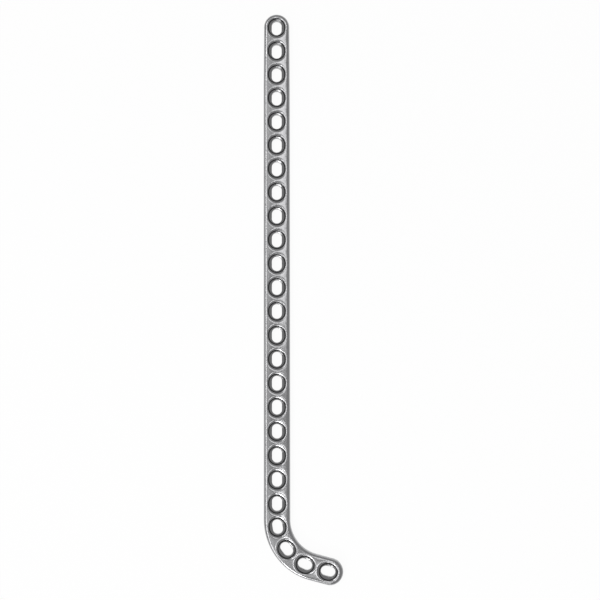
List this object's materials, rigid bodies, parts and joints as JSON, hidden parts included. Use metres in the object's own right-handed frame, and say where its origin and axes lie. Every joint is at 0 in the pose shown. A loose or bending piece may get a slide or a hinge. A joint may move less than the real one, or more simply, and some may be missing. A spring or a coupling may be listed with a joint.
{
  "type": "orthopedic bone plate",
  "caption": "Angled bone plate: a long straight bar with a slightly crowned top that hooks round at one end, with a row of elongated screw holes, each with a rounded seat for the screw head.",
  "frame": {"origin": "on the plane of the bone face, at the centre of the middle hole of the straight run", "axes": "+Y along the straight run towards its free end, +Z out of the face that takes the screw heads, +X towards the side that the hooked end turns to"},
  "size_m": [0.0263, 0.1915, 0.0025],
  "materials": {
    "plate": "satin surgical stainless steel, tumbled"
  },
  "bodies": {
    "root": {"plate": "plate"}
  },
  "joints": []
}
